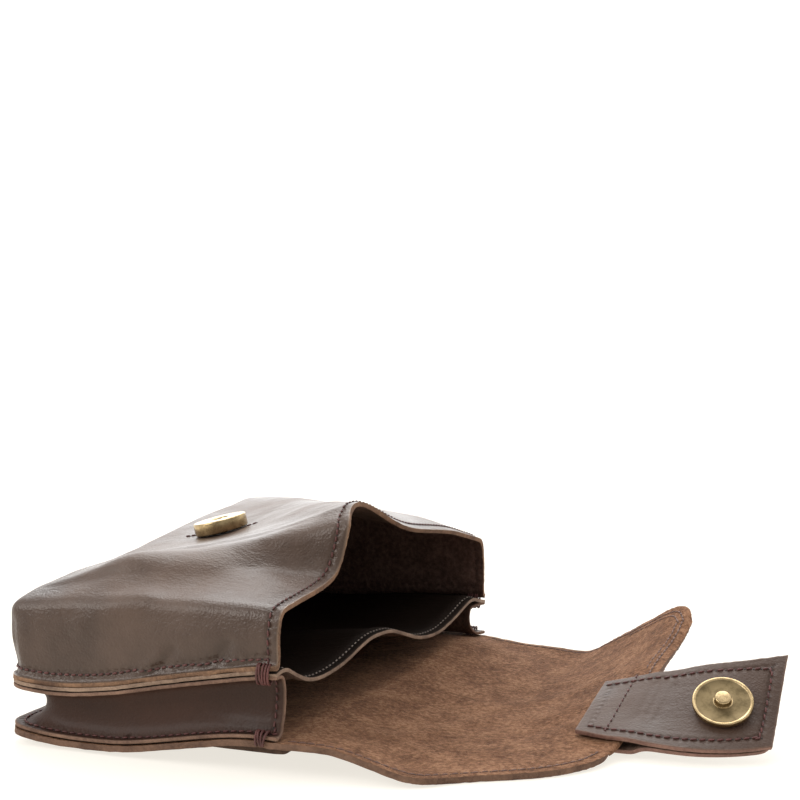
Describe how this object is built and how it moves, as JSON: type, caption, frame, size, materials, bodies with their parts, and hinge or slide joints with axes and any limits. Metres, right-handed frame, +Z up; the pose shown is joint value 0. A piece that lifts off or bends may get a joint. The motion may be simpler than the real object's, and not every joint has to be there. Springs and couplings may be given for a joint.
{
  "type": "leather belt bag",
  "caption": "Small brown leather belt pouch lying open on its back, with a divider, a folded gusset, a wide suede-lined flap, a closing tab with a magnetic snap, and belt loops.",
  "frame": {"origin": "middle of the bag's footprint on the floor", "axes": "+X from the bottom of the bag to the flap and its tab, +Y from the near side to the far side, +Z up from the floor"},
  "size_m": [0.2194, 0.1726, 0.0709],
  "materials": {
    "brown_leather": "smooth, waxed, semi-gloss",
    "inner_leather": "matt inner leather",
    "suede_side_leather": "rough suede side up, smooth side down",
    "antique_brass": "brushed antique brass"
  },
  "bodies": {
    "root": {"front_panel": "brown_leather", "divider": "inner_leather", "gusset": "brown_leather", "back_panel_flap": "suede_side_leather", "tab_face": "brown_leather", "tab_back": "brown_leather", "belt_loop_near": "brown_leather", "belt_loop_far": "brown_leather", "snap_socket": "antique_brass", "snap_stud": "antique_brass"}
  },
  "joints": []
}
